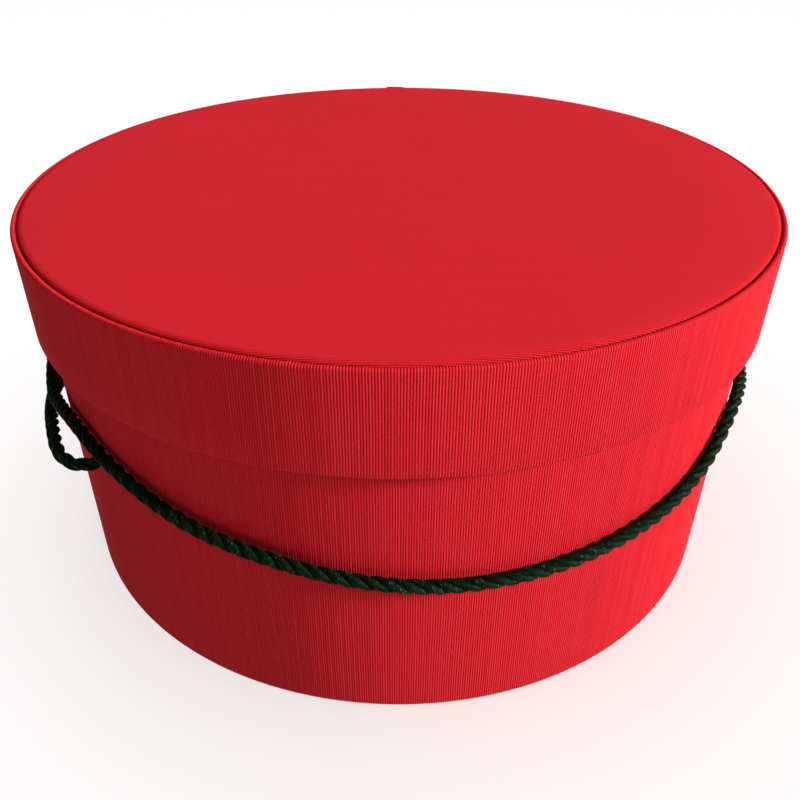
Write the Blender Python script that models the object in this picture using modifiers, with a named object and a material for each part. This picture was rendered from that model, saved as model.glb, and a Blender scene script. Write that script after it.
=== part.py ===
"""Round covered hat box: a board drum with a floor, a lift-off lid and a twisted cord handle.

The box stands on the XY plane, centred on the Z axis, with its front towards -Y.
Azimuths are measured round Z from the front (-Y) towards +X.
"""

import math

import bmesh
import bpy
import numpy as np
from mathutils import Vector

# Driving dimensions, in metres.
RIM_TOP = 0.200
LID_RADIUS = 0.200
SKIRT_HEIGHT = 0.0506
BASE_RADIUS = 0.1935
PANEL_PROUD = 0.0008
HOOP_BOARD = 0.0013
FLOOR_BOARD = 0.0020
PANEL_BOARD = 0.0010
COVER = 0.0005
PAPER = 0.0004
TAPE = 0.0003
GAP = 0.0003
CORD_DIAMETER = 0.0070

# Turn-ins of the covers, and the small chamfers where they fold.
RIM_FOLD = 0.0008
EDGE_FOLD = 0.0004
LID_TURN_IN = 0.012
TOP_TURN_IN = 0.014
BASE_TURN_IN = 0.015
FOOT_TURN_IN = 0.0165

# The seam where the ends of each board strip butt, and its paper tape.
SEAM_AZIMUTH = 182.0
SEAM_GAP = 0.0004
TAPE_ANGLE = 9.0

# Cord holes, opposite each other and about half way up the box.
HOLE_AZIMUTH = -48.7
HOLE_HEIGHT = 0.1027
HOLE_RADIUS = 0.0039
KNOT_RADII = (0.0082, 0.0092, 0.0086)
TAIL_LENGTH = 0.017
END_TAPE_LENGTH = 0.008

# Mesh resolution.
SEGMENTS = 60
CORD_RESOLUTION = 2
CORD_POINTS_PER_SPAN = 2
HOLE_SEGMENTS = 16
MERGE = 0.00001

# Radii and heights of the layers of the base, from the outside in.
BASE_BOARD_OUTER = BASE_RADIUS - COVER - GAP
BASE_BOARD_INNER = BASE_BOARD_OUTER - HOOP_BOARD
BASE_TAPE_OUTER = BASE_BOARD_INNER - GAP
BASE_TURN_INNER = BASE_TAPE_OUTER - COVER
BASE_LINING_OUTER = BASE_TAPE_OUTER - TAPE - GAP
BASE_LINING_INNER = BASE_LINING_OUTER - PAPER
BOARD_BOTTOM = COVER + GAP
FLOOR_TOP = BOARD_BOTTOM + FLOOR_BOARD
LINING_BOTTOM = FLOOR_TOP + GAP

# Radii and heights of the layers of the lid, from the outside in and from the top down. The
# covered panel stands a little proud of the rim of the hoop round it.
LID_BOARD_OUTER = LID_RADIUS - COVER - GAP
LID_BOARD_INNER = LID_BOARD_OUTER - HOOP_BOARD
LID_TAPE_OUTER = LID_BOARD_INNER - GAP
LID_TURN_INNER = LID_TAPE_OUTER - COVER
LID_LINING_OUTER = LID_TAPE_OUTER - TAPE - GAP
LID_LINING_INNER = LID_LINING_OUTER - PAPER
SKIRT_BOTTOM = RIM_TOP - SKIRT_HEIGHT
BOX_HEIGHT = RIM_TOP + PANEL_PROUD
PANEL_RADIUS = LID_TURN_INNER - GAP
PANEL_BOTTOM = BOX_HEIGHT - 2 * COVER - 2 * GAP - PANEL_BOARD
TURN_IN_TOP = PANEL_BOTTOM - GAP
TOP_BOARD_TOP = TURN_IN_TOP - COVER - GAP
TOP_BOARD_BOTTOM = TOP_BOARD_TOP - FLOOR_BOARD
TOP_LINING_TOP = TOP_BOARD_BOTTOM - GAP
TOP_LINING_BOTTOM = TOP_LINING_TOP - PAPER
BASE_TOP = TOP_LINING_BOTTOM - GAP

# Route of the cord, from the left hole round the front to the right hole:
# azimuth in degrees, radius and height in millimetres.
CORD_ROUTE = [
    (-48.7, 190.2, 102.7),
    (-48.7, 194.0, 102.7),
    (-49.2, 201.0, 102.9),
    (-50.6, 206.0, 103.7),
    (-52.6, 208.1, 104.9),
    (-56.2, 206.9, 106.4),
    (-61.3, 204.3, 106.0),
    (-68.0, 202.4, 102.0),
    (-73.6, 202.0, 97.0),
    (-77.5, 202.3, 92.2),
    (-81.1, 202.6, 89.8),
    (-84.2, 202.2, 93.6),
    (-85.5, 201.5, 102.6),
    (-84.8, 200.8, 110.0),
    (-82.0, 200.4, 113.4),
    (-78.0, 200.2, 112.2),
    (-72.6, 200.0, 109.6),
    (-66.3, 199.4, 110.7),
    (-59.4, 197.9, 115.4),
    (-52.6, 197.5, 119.0),
    (-46.2, 197.5, 116.0),
    (-37.9, 197.5, 110.0),
    (-28.0, 197.5, 102.5),
    (-17.0, 197.5, 97.1),
    (-5.1, 197.5, 91.0),
    (7.0, 197.5, 87.2),
    (18.0, 197.5, 87.4),
    (27.9, 197.4, 89.0),
    (36.9, 197.3, 91.6),
    (44.4, 197.3, 95.4),
    (49.3, 197.3, 99.4),
    (52.8, 197.3, 103.8),
    (55.7, 197.3, 109.0),
    (59.2, 197.3, 113.8),
    (63.6, 197.3, 116.0),
    (69.0, 197.3, 115.0),
    (77.5, 197.3, 111.2),
    (88.0, 197.3, 107.8),
    (98.5, 197.3, 105.8),
    (108.5, 197.9, 104.7),
    (118.3, 202.3, 104.0),
    (124.2, 206.9, 103.6),
    (127.8, 207.8, 103.3),
    (130.4, 203.2, 102.9),
    (131.3, 194.0, 102.7),
    (131.3, 190.2, 102.7),
]

# Base colour, roughness and metallic value of each material.
MATERIALS = {
    "ribbed_cover": ((0.60, 0.012, 0.020), 0.55, 0.0),
    "grey_board": ((0.36, 0.31, 0.25), 0.90, 0.0),
    "joint_tape": ((0.50, 0.37, 0.22), 0.75, 0.0),
    "lining_paper": ((0.80, 0.76, 0.68), 0.80, 0.0),
    "underside_paper": ((0.74, 0.70, 0.62), 0.85, 0.0),
    "twisted_cord": ((0.010, 0.045, 0.022), 0.60, 0.0),
    "end_tape": ((0.02, 0.03, 0.025), 0.35, 0.0),
}


def clear_scene():
    """Remove every object that is already in the scene."""
    for obj in list(bpy.data.objects):
        bpy.data.objects.remove(obj, do_unlink=True)


def make_material(name, colour, roughness, metallic):
    """Return a Principled BSDF material."""
    material = bpy.data.materials.new(name)
    material.use_nodes = True
    shader = material.node_tree.nodes["Principled BSDF"]
    shader.inputs["Base Color"].default_value = (*colour, 1.0)
    shader.inputs["Roughness"].default_value = roughness
    shader.inputs["Metallic"].default_value = metallic
    return material


def make_collection(name):
    """Return a new collection linked to the scene."""
    collection = bpy.data.collections.new(name)
    bpy.context.scene.collection.children.link(collection)
    return collection


def link_part(name, data, material, parent):
    """Make one named sub-part from a mesh or curve, under its body's empty."""
    data.name = name
    obj = bpy.data.objects.new(name, data)
    obj.data.materials.append(material)
    parts.objects.link(obj)
    obj.parent = parent
    return obj


def on_circle(azimuth, radius, height):
    """World position of a point given round the box from its front, towards +X."""
    angle = math.radians(azimuth)
    return Vector((radius * math.sin(angle), -radius * math.cos(angle), height))


def world_angle(azimuth):
    """Angle about Z from +X of an azimuth measured from the front."""
    return math.radians(azimuth - 90.0)


def profile_mesh(points, closed):
    """Mesh of edges through (radius, height) points, in the XZ plane."""
    mesh = bpy.data.meshes.new("profile")
    count = len(points)
    edges = [(i, i + 1) for i in range(count - 1)]
    if closed:
        edges.append((count - 1, 0))
    mesh.from_pydata([(r, 0.0, z) for r, z in points], edges, [])
    return mesh


def add_screw(obj, angle=math.tau, steps=SEGMENTS):
    """Turn a profile about Z."""
    screw = obj.modifiers.new("turn", "SCREW")
    screw.axis = "Z"
    screw.angle = angle
    screw.steps = steps
    screw.render_steps = steps
    screw.use_merge_vertices = True
    screw.merge_threshold = MERGE
    screw.use_smooth_shade = True


def add_thickness(obj, thickness):
    """Give an open surface its thickness, on the side its faces point away from."""
    solid = obj.modifiers.new("thickness", "SOLIDIFY")
    solid.thickness = thickness
    solid.offset = -1.0
    solid.use_even_offset = True


def make_hoop(name, outer, inner, bottom, top, material, parent):
    """A straight hoop of rectangular section."""
    outline = [(outer, top), (outer, bottom), (inner, bottom), (inner, top)]
    hoop = link_part(name, profile_mesh(outline, closed=True), material, parent)
    add_screw(hoop)
    return hoop


def make_disc(name, radius, bottom, top, material, parent):
    """A flat disc whose corners line up with those of the hoops."""
    mesh = bpy.data.meshes.new(name)
    form = bmesh.new()
    bmesh.ops.create_cone(
        form, cap_ends=True, segments=SEGMENTS, radius1=radius, radius2=radius, depth=top - bottom
    )
    form.to_mesh(mesh)
    form.free()
    mesh.shade_smooth()
    mesh.set_sharp_from_angle(angle=math.radians(30.0))
    disc = link_part(name, mesh, material, parent)
    disc.location.z = (bottom + top) / 2
    return disc


def make_skin(name, line, thickness, material, parent):
    """A turned skin whose visible side follows a line of (radius, height) points."""
    skin = link_part(name, profile_mesh(line, closed=False), material, parent)
    add_screw(skin)
    add_thickness(skin, thickness)
    return skin


def make_joint_tape(name, outer, bottom, top, material, parent):
    """A strip of paper tape down the inside of a hoop, centred on the seam."""
    line = [(outer, top), (outer, bottom)]
    tape = link_part(name, profile_mesh(line, closed=False), material, parent)
    add_screw(tape, math.radians(TAPE_ANGLE), steps=2)
    add_thickness(tape, TAPE)
    tape.rotation_euler.z = world_angle(SEAM_AZIMUTH - TAPE_ANGLE / 2)
    return tape


def link_cutter(name, form):
    """Make a cutter, which is kept out of the model."""
    mesh = bpy.data.meshes.new(name)
    form.to_mesh(mesh)
    form.free()
    cutter = bpy.data.objects.new(name, mesh)
    cutter.hide_render = True
    cutter.display_type = "WIRE"
    cutters.objects.link(cutter)
    return cutter


def make_seam_cutter(name, radius, bottom, top):
    """A thin slab across a hoop's wall at the seam."""
    form = bmesh.new()
    bmesh.ops.create_cube(form, size=1.0)
    depth = 4 * HOOP_BOARD
    bmesh.ops.scale(form, vec=(SEAM_GAP, depth, 1.2 * (top - bottom)), verts=form.verts)
    cutter = link_cutter(name, form)
    cutter.location = on_circle(SEAM_AZIMUTH, radius, (bottom + top) / 2)
    cutter.rotation_euler.z = math.radians(SEAM_AZIMUTH)
    return cutter


def make_hole_cutter(name, azimuth):
    """A round bar along a cord hole, longer than the wall is thick."""
    form = bmesh.new()
    bmesh.ops.create_cone(
        form,
        cap_ends=True,
        segments=HOLE_SEGMENTS,
        radius1=HOLE_RADIUS,
        radius2=HOLE_RADIUS,
        depth=0.010,
    )
    cutter = link_cutter(name, form)
    cutter.location = on_circle(azimuth, BASE_BOARD_INNER, HOLE_HEIGHT)
    cutter.rotation_euler = (math.radians(90.0), 0.0, math.radians(azimuth))
    return cutter


def cut(obj, cutter):
    """Take a cutter away from a sub-part."""
    boolean = obj.modifiers.new("cut_" + cutter.name, "BOOLEAN")
    boolean.operation = "DIFFERENCE"
    boolean.solver = "EXACT"
    boolean.object = cutter


def smooth_curve(points, per_span):
    """Points along a natural cubic spline, a few to each span between the given points."""
    points = np.array(points)
    spans = np.linalg.norm(np.diff(points, axis=0), axis=1)
    knots = np.concatenate([[0.0], np.cumsum(spans)])
    count = len(points)
    matrix = np.eye(count)
    target = np.zeros((count, 3))
    for i in range(1, count - 1):
        before, after = spans[i - 1], spans[i]
        matrix[i, i - 1 : i + 2] = (before, 2 * (before + after), after)
        slope_after = (points[i + 1] - points[i]) / after
        slope_before = (points[i] - points[i - 1]) / before
        target[i] = 6 * (slope_after - slope_before)
    bends = np.linalg.solve(matrix, target)
    steps = (count - 1) * per_span
    where = np.interp(np.arange(steps + 1) / per_span, np.arange(count), knots)
    k = np.minimum(np.arange(steps + 1) // per_span, count - 2)
    span = spans[k][:, None]
    a = (knots[k + 1][:, None] - where[:, None]) / span
    b = 1.0 - a
    curved = (a**3 - a) * bends[k] + (b**3 - b) * bends[k + 1]
    return a * points[k] + b * points[k + 1] + curved * span**2 / 6


def make_cord(name, points, material, parent):
    """A round cord along a chain of points, with closed ends."""
    curve = bpy.data.curves.new(name, "CURVE")
    curve.dimensions = "3D"
    curve.bevel_depth = CORD_DIAMETER / 2
    curve.bevel_resolution = CORD_RESOLUTION
    curve.use_fill_caps = True
    spline = curve.splines.new("POLY")
    spline.points.add(len(points) - 1)
    for slot, point in zip(spline.points, points):
        slot.co = (*point, 1.0)
    spline.use_smooth = True
    return link_part(name, curve, material, parent)


def make_knot(name, azimuth, material, parent):
    """The outer shape of a stopper knot drawn up against the lining, its depth along the hole."""
    mesh = bpy.data.meshes.new(name)
    form = bmesh.new()
    bmesh.ops.create_uvsphere(form, u_segments=14, v_segments=10, radius=1.0)
    depth, width, height = KNOT_RADII
    bmesh.ops.scale(form, vec=(width, depth, height), verts=form.verts)
    form.to_mesh(mesh)
    form.free()
    mesh.shade_smooth()
    knot = link_part(name, mesh, material, parent)
    knot.location = knot_centre(azimuth)
    knot.rotation_euler.z = math.radians(azimuth)
    return knot


def knot_centre(azimuth):
    """Centre of the knot inside a hole."""
    return on_circle(azimuth, BASE_LINING_INNER - GAP - KNOT_RADII[0], HOLE_HEIGHT)


def tail_top(azimuth):
    """Top of the short tail of cord that hangs below a knot."""
    return knot_centre(azimuth) - Vector((0.0, 0.0, KNOT_RADII[2] + GAP))


def make_tail(name, azimuth, material, parent):
    """The short tail of cord below a knot."""
    top = tail_top(azimuth)
    return make_cord(name, [top, top - Vector((0.0, 0.0, TAIL_LENGTH))], material, parent)


def make_end_tape(name, azimuth, material, parent):
    """The tape wound round the end of a tail."""
    inner = CORD_DIAMETER / 2 + GAP
    outer = inner + TAPE
    outline = [(outer, END_TAPE_LENGTH), (outer, 0.0), (inner, 0.0), (inner, END_TAPE_LENGTH)]
    tape = link_part(name, profile_mesh(outline, closed=True), material, parent)
    add_screw(tape, steps=HOLE_SEGMENTS)
    tape.location = tail_top(azimuth) - Vector((0.0, 0.0, TAIL_LENGTH))
    return tape


def build_base(material, parent):
    """The drum: board hoop, floor, cover, papers and linings."""
    board = make_hoop(
        "base_side_board",
        BASE_BOARD_OUTER,
        BASE_BOARD_INNER,
        BOARD_BOTTOM,
        BASE_TOP - COVER - GAP,
        material["grey_board"],
        parent,
    )
    cut(board, make_seam_cutter("base_seam", BASE_BOARD_OUTER, BOARD_BOTTOM, BASE_TOP))
    make_disc(
        "base_floor_board",
        BASE_TAPE_OUTER,
        BOARD_BOTTOM,
        FLOOR_TOP,
        material["grey_board"],
        parent,
    )
    turn_in_bottom = BASE_TOP - BASE_TURN_IN
    lining_top = turn_in_bottom - GAP
    make_joint_tape(
        "base_joint_tape",
        BASE_TAPE_OUTER,
        LINING_BOTTOM,
        lining_top,
        material["joint_tape"],
        parent,
    )
    cover_line = [
        (BASE_TURN_INNER, turn_in_bottom),
        (BASE_TURN_INNER, BASE_TOP - EDGE_FOLD),
        (BASE_TURN_INNER + EDGE_FOLD, BASE_TOP),
        (BASE_RADIUS - EDGE_FOLD, BASE_TOP),
        (BASE_RADIUS, BASE_TOP - EDGE_FOLD),
        (BASE_RADIUS, EDGE_FOLD),
        (BASE_RADIUS - EDGE_FOLD, 0.0),
        (BASE_RADIUS - FOOT_TURN_IN, 0.0),
    ]
    cover = make_skin("base_side_cover", cover_line, COVER, material["ribbed_cover"], parent)
    lining = make_hoop(
        "base_side_lining",
        BASE_LINING_OUTER,
        BASE_LINING_INNER,
        LINING_BOTTOM,
        lining_top,
        material["lining_paper"],
        parent,
    )
    make_disc(
        "base_floor_lining",
        BASE_LINING_INNER - GAP,
        LINING_BOTTOM,
        LINING_BOTTOM + PAPER,
        material["lining_paper"],
        parent,
    )
    make_disc(
        "base_underside_paper",
        BASE_RADIUS - FOOT_TURN_IN - GAP,
        0.0,
        COVER,
        material["underside_paper"],
        parent,
    )
    for side, azimuth in HOLES.items():
        hole = make_hole_cutter("hole_" + side, azimuth)
        for piece in (board, cover, lining):
            cut(piece, hole)


def build_handle(material, parent):
    """The cord across the front, and its knots and taped tails inside the box."""
    millimetre = 0.001
    route = [on_circle(az, r * millimetre, h * millimetre) for az, r, h in CORD_ROUTE]
    cord = material["twisted_cord"]
    make_cord("handle_cord", smooth_curve(route, CORD_POINTS_PER_SPAN), cord, parent)
    for side, azimuth in HOLES.items():
        make_knot("handle_knot_" + side, azimuth, cord, parent)
        make_tail("cord_tail_" + side, azimuth, cord, parent)
        make_end_tape("cord_end_tape_" + side, azimuth, material["end_tape"], parent)


def build_lid(material, parent):
    """The lid: board hoop, top board, covered panel, cover and linings."""
    board = make_hoop(
        "lid_side_board",
        LID_BOARD_OUTER,
        LID_BOARD_INNER,
        SKIRT_BOTTOM + COVER + GAP,
        RIM_TOP - COVER - GAP,
        material["grey_board"],
        parent,
    )
    cut(board, make_seam_cutter("lid_seam", LID_BOARD_OUTER, SKIRT_BOTTOM, RIM_TOP))
    turn_in_top = SKIRT_BOTTOM + LID_TURN_IN
    make_joint_tape(
        "lid_joint_tape",
        LID_TAPE_OUTER,
        turn_in_top + GAP,
        TOP_LINING_BOTTOM - GAP,
        material["joint_tape"],
        parent,
    )
    make_disc(
        "lid_top_board",
        LID_TAPE_OUTER,
        TOP_BOARD_BOTTOM,
        TOP_BOARD_TOP,
        material["grey_board"],
        parent,
    )
    cover_line = [
        (LID_TURN_INNER - TOP_TURN_IN, TURN_IN_TOP),
        (LID_TURN_INNER, TURN_IN_TOP),
        (LID_TURN_INNER, RIM_TOP - RIM_FOLD),
        (LID_TURN_INNER + RIM_FOLD, RIM_TOP),
        (LID_RADIUS - RIM_FOLD, RIM_TOP),
        (LID_RADIUS, RIM_TOP - RIM_FOLD),
        (LID_RADIUS, SKIRT_BOTTOM + EDGE_FOLD),
        (LID_RADIUS - EDGE_FOLD, SKIRT_BOTTOM),
        (LID_TURN_INNER + EDGE_FOLD, SKIRT_BOTTOM),
        (LID_TURN_INNER, SKIRT_BOTTOM + EDGE_FOLD),
        (LID_TURN_INNER, turn_in_top),
    ]
    make_skin("lid_side_cover", cover_line, COVER, material["ribbed_cover"], parent)
    panel_line = [
        (0.0, BOX_HEIGHT),
        (PANEL_RADIUS - RIM_FOLD, BOX_HEIGHT),
        (PANEL_RADIUS, BOX_HEIGHT - RIM_FOLD),
        (PANEL_RADIUS, PANEL_BOTTOM),
        (PANEL_RADIUS - TOP_TURN_IN, PANEL_BOTTOM),
    ]
    make_skin("lid_panel_cover", panel_line, COVER, material["ribbed_cover"], parent)
    make_disc(
        "lid_panel_board",
        PANEL_RADIUS - RIM_FOLD - GAP,
        PANEL_BOTTOM + COVER + GAP,
        BOX_HEIGHT - COVER - GAP,
        material["grey_board"],
        parent,
    )
    make_hoop(
        "lid_side_lining",
        LID_LINING_OUTER,
        LID_LINING_INNER,
        turn_in_top + GAP,
        TOP_LINING_BOTTOM - GAP,
        material["lining_paper"],
        parent,
    )
    make_disc(
        "lid_top_lining",
        LID_TAPE_OUTER,
        TOP_LINING_BOTTOM,
        TOP_LINING_TOP,
        material["lining_paper"],
        parent,
    )


HOLES = {"left": HOLE_AZIMUTH, "right": HOLE_AZIMUTH + 180.0}

clear_scene()
parts = make_collection("hat_box")
cutters = make_collection("hat_box_cutters")
palette = {name: make_material(name, *values) for name, values in MATERIALS.items()}
base = bpy.data.objects.new("base", None)
lid = bpy.data.objects.new("lid", None)
for body in (base, lid):
    parts.objects.link(body)
lid.parent = base
build_base(palette, base)
build_handle(palette, base)
build_lid(palette, lid)
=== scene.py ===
"""Looks of a round covered hat box: ribbed cloth on board, paper linings and a twisted cord handle.

Everything is in metres in the model's own frame: the box stands on the XY plane with its front
towards -Y. Azimuths are in degrees round Z from the front towards +X.
"""

import math

import bpy
import numpy as np
from mathutils import Matrix, Vector


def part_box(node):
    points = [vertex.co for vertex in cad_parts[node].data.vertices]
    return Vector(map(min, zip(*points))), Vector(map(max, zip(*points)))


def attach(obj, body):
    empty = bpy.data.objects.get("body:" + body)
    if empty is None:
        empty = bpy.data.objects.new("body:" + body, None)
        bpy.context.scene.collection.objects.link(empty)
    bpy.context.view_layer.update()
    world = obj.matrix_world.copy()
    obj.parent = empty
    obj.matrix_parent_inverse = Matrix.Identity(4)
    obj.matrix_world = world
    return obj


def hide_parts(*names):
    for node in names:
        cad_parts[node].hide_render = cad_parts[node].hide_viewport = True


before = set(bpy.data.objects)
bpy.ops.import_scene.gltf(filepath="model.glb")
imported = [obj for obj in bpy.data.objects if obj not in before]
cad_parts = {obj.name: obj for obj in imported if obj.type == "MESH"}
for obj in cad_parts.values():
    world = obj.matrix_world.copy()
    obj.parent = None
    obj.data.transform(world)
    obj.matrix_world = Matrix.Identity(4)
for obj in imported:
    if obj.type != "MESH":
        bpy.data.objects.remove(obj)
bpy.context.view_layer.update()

# Sizes read from the model.
LID_LOW, LID_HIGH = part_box("lid_side_cover")
BASE_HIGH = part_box("base_side_cover")[1]
PANEL_LOW, PANEL_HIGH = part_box("lid_panel_cover")
LID_RADIUS = LID_HIGH.x
RIM_TOP = LID_HIGH.z
SKIRT_BOTTOM = LID_LOW.z
BASE_RADIUS = BASE_HIGH.x
BASE_TOP = BASE_HIGH.z
PANEL_RADIUS = PANEL_HIGH.x
PANEL_TOP = PANEL_HIGH.z
PANEL_BOTTOM = PANEL_LOW.z

# Thicknesses of the cloth, of the base's and the lid's covered walls, of the papers and of the
# glue lines, and how far the cloth is turned in, as the model has them.
CLOTH = 0.0005
WALL = 0.0029
LINING = 0.0004
TAPE = 0.0003
GAP = 0.0003
TOP_TURN_IN = 0.014
LID_TURN_IN = 0.012
BASE_TURN_IN = 0.015
FOOT_TURN_IN = 0.0165
SEAM_AZIMUTH = 182.0

# The cloth's ribs and threads, and where its ends overlap at the seam.
RIB_PITCH = 0.001165
RIB_DEPTH = 0.00030
RIB_PHASES = (0.0, 0.2, 0.5, 0.8)
RIB_SWAY = 0.35
THREAD_PITCH = 0.00024
WALL_UNEVENNESS = 0.00010
LAP_RIBS = 9
LAP_LIP = 0.00085
LAP_STEP = 0.00060

# The panel's cloth: its ribs pressed flat and opening up over the rolled edge, and its mesh.
PANEL_RIB_DEPTH = 0.00003
PANEL_RIB_SWAY = 0.25
PANEL_UNEVENNESS = 0.00002
EDGE_RIB_DEPTH = 0.00044
EDGE_OPENING = 0.0011
PANEL_ROLL = 0.0028
PANEL_DROP = 0.0015
PANEL_MARGIN = 0.0004
PANEL_FOLD = 0.0006
PANEL_COLUMNS = 10
FILL_ANGLE = math.radians(0.7)

# The cord, of three strands of plied yarn, and its holes with the length of their cutter.
STRAND_RADIUS = 0.00180
STRAND_ORBIT = 0.00172
CORD_LAY = 0.024
YARNS = 8
YARN_SIDES = 4
YARN_DEPTH = 0.00014
YARN_LAY = 0.013
CORD_STEP = 0.0013
HOLE_AZIMUTH = -48.7
HOLE_HEIGHT = 0.1027
HOLE_RADIUS = 0.0039
HOLE_CUT = 0.012

# The whipping on the cord's ends: its inner and outer radius, its length and its turns.
WHIPPING_INNER = 0.00345
WHIPPING_OUTER = 0.0040
WHIPPING_LENGTH = 0.008
WHIPPING_TURNS = 12

# Strength of the room's light, how bright the room looks, and the studio floor.
ROOM_LIGHT = 0.03
ROOM_SEEN = 0.93
FLOOR_HALF = 6.0
FLOOR_DROP = 0.0002

# Route of the cord, from the left hole round the front to the right hole:
# azimuth in degrees, radius and height in millimetres.
CORD_ROUTE = [
    (-48.7, 190.2, 102.7),
    (-48.7, 194.0, 102.7),
    (-49.2, 201.0, 102.9),
    (-50.6, 206.0, 103.7),
    (-52.6, 208.1, 104.9),
    (-56.2, 206.9, 106.4),
    (-61.3, 204.3, 106.0),
    (-68.0, 202.4, 102.0),
    (-73.6, 202.0, 97.0),
    (-77.5, 202.3, 92.2),
    (-81.1, 202.6, 89.8),
    (-84.2, 202.2, 93.6),
    (-85.5, 201.5, 102.6),
    (-84.8, 200.8, 110.0),
    (-82.0, 200.4, 113.4),
    (-78.0, 200.2, 112.2),
    (-72.6, 200.0, 109.6),
    (-66.3, 199.4, 110.7),
    (-59.4, 197.9, 115.4),
    (-52.6, 197.5, 119.0),
    (-46.2, 197.5, 116.0),
    (-37.9, 197.5, 110.0),
    (-28.0, 197.5, 102.5),
    (-17.0, 197.5, 97.1),
    (-5.1, 197.5, 91.0),
    (7.0, 197.5, 87.2),
    (18.0, 197.5, 87.4),
    (27.9, 197.4, 89.0),
    (36.9, 197.3, 91.6),
    (44.4, 197.3, 95.4),
    (49.3, 197.3, 99.4),
    (52.8, 197.3, 103.8),
    (55.7, 197.3, 109.0),
    (59.2, 197.3, 113.8),
    (63.6, 197.3, 116.0),
    (69.0, 197.3, 115.0),
    (77.5, 197.3, 111.2),
    (88.0, 197.3, 107.8),
    (98.5, 197.3, 105.8),
    (108.5, 197.9, 104.7),
    (118.3, 202.3, 104.0),
    (124.2, 206.9, 103.6),
    (127.8, 207.8, 103.3),
    (130.4, 203.2, 102.9),
    (131.3, 194.0, 102.7),
    (131.3, 190.2, 102.7),
]

# Path of a stopper knot from the hole inwards: depth, sideways and height in millimetres.
KNOT_PATH = [
    (0.0, 0.0, 0.0),
    (3.5, 0.0, 0.0),
    (8.0, 0.6, 0.6),
    (12.6, 3.0, 2.2),
    (14.4, 6.8, 0.6),
    (12.0, 8.4, -4.0),
    (8.2, 5.0, -7.4),
    (6.6, -1.4, -8.0),
    (7.0, -6.8, -4.2),
    (8.0, -7.8, 2.2),
    (9.4, -3.6, 7.2),
    (11.2, 2.4, 6.8),
    (15.4, 4.0, 1.2),
    (15.6, 2.2, -4.6),
    (11.0, 0.4, -9.0),
    (8.7, 0.0, -13.0),
    (8.4, 0.0, -18.0),
    (8.4, 0.0, -25.6),
]


def on_circle(azimuth, radius, height):
    """Position of a point given round the box from its front, towards +X."""
    angle = math.radians(azimuth)
    return Vector((radius * math.sin(angle), -radius * math.cos(angle), height))


# ---------------------------------------------------------------- camera, stage and light


def add_camera():
    """The camera in front of the box, looking down on the lid."""
    distance = 0.4802
    elevation = math.radians(18.90)
    pitch = math.radians(35.45)
    yaw = math.radians(-1.155)
    roll = math.radians(0.473)
    forward = Vector(
        (math.sin(yaw) * math.cos(pitch), math.cos(yaw) * math.cos(pitch), -math.sin(pitch))
    )
    level = Vector((math.cos(yaw), -math.sin(yaw), 0.0))
    down = forward.cross(level)
    right = math.cos(roll) * level + math.sin(roll) * down
    up = math.sin(roll) * level - math.cos(roll) * down
    data = bpy.data.cameras.new("camera")
    data.lens = 37.80
    data.sensor_width = 36.0
    data.shift_x = 0.0231
    data.shift_y = 0.0335
    data.clip_start = 0.01
    camera = bpy.data.objects.new("camera", data)
    camera.matrix_world = Matrix(
        (
            (right.x, up.x, -forward.x, 0.0),
            (right.y, up.y, -forward.y, -distance * math.cos(elevation)),
            (right.z, up.z, -forward.z, PANEL_TOP + distance * math.sin(elevation)),
            (0.0, 0.0, 0.0, 1.0),
        )
    )
    bpy.context.scene.collection.objects.link(camera)
    bpy.context.scene.camera = camera


def add_sun(name, azimuth, elevation, power, softness, colour):
    """A distant light from an azimuth and an elevation, its softness an angle, in degrees."""
    data = bpy.data.lights.new(name, "SUN")
    data.energy = power
    data.angle = math.radians(softness)
    data.color = colour
    light = bpy.data.objects.new(name, data)
    towards = on_circle(azimuth, math.cos(math.radians(elevation)), 0.0)
    towards.z = math.sin(math.radians(elevation))
    light.rotation_euler = towards.to_track_quat("Z", "Y").to_euler()
    bpy.context.scene.collection.objects.link(light)
    return light


def add_area(name, location, target, size, power, colour):
    """A square area light that points at a target."""
    data = bpy.data.lights.new(name, "AREA")
    data.shape = "SQUARE"
    data.size = size
    data.energy = power
    data.color = colour
    light = bpy.data.objects.new(name, data)
    light.location = location
    aim = Vector(target) - Vector(location)
    light.rotation_euler = aim.to_track_quat("-Z", "Y").to_euler()
    bpy.context.scene.collection.objects.link(light)
    return light


def add_floor(material):
    """A wide floor just under the box."""
    square = ((-1, -1), (1, -1), (1, 1), (-1, 1))
    corners = [(x * FLOOR_HALF, y * FLOOR_HALF, -FLOOR_DROP) for x, y in square]
    mesh = bpy.data.meshes.new("studio_floor")
    mesh.from_pydata(corners, [], [(0, 1, 2, 3)])
    mesh.materials.append(material)
    floor = bpy.data.objects.new("studio_floor", mesh)
    bpy.context.scene.collection.objects.link(floor)
    return floor


def link_group(name, floor, state):
    """A collection for light linking that takes in only the floor, or leaves only it out."""
    group = bpy.data.collections.new(name)
    group.objects.link(floor)
    group.collection_objects[0].light_linking.link_state = state
    return group


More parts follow.
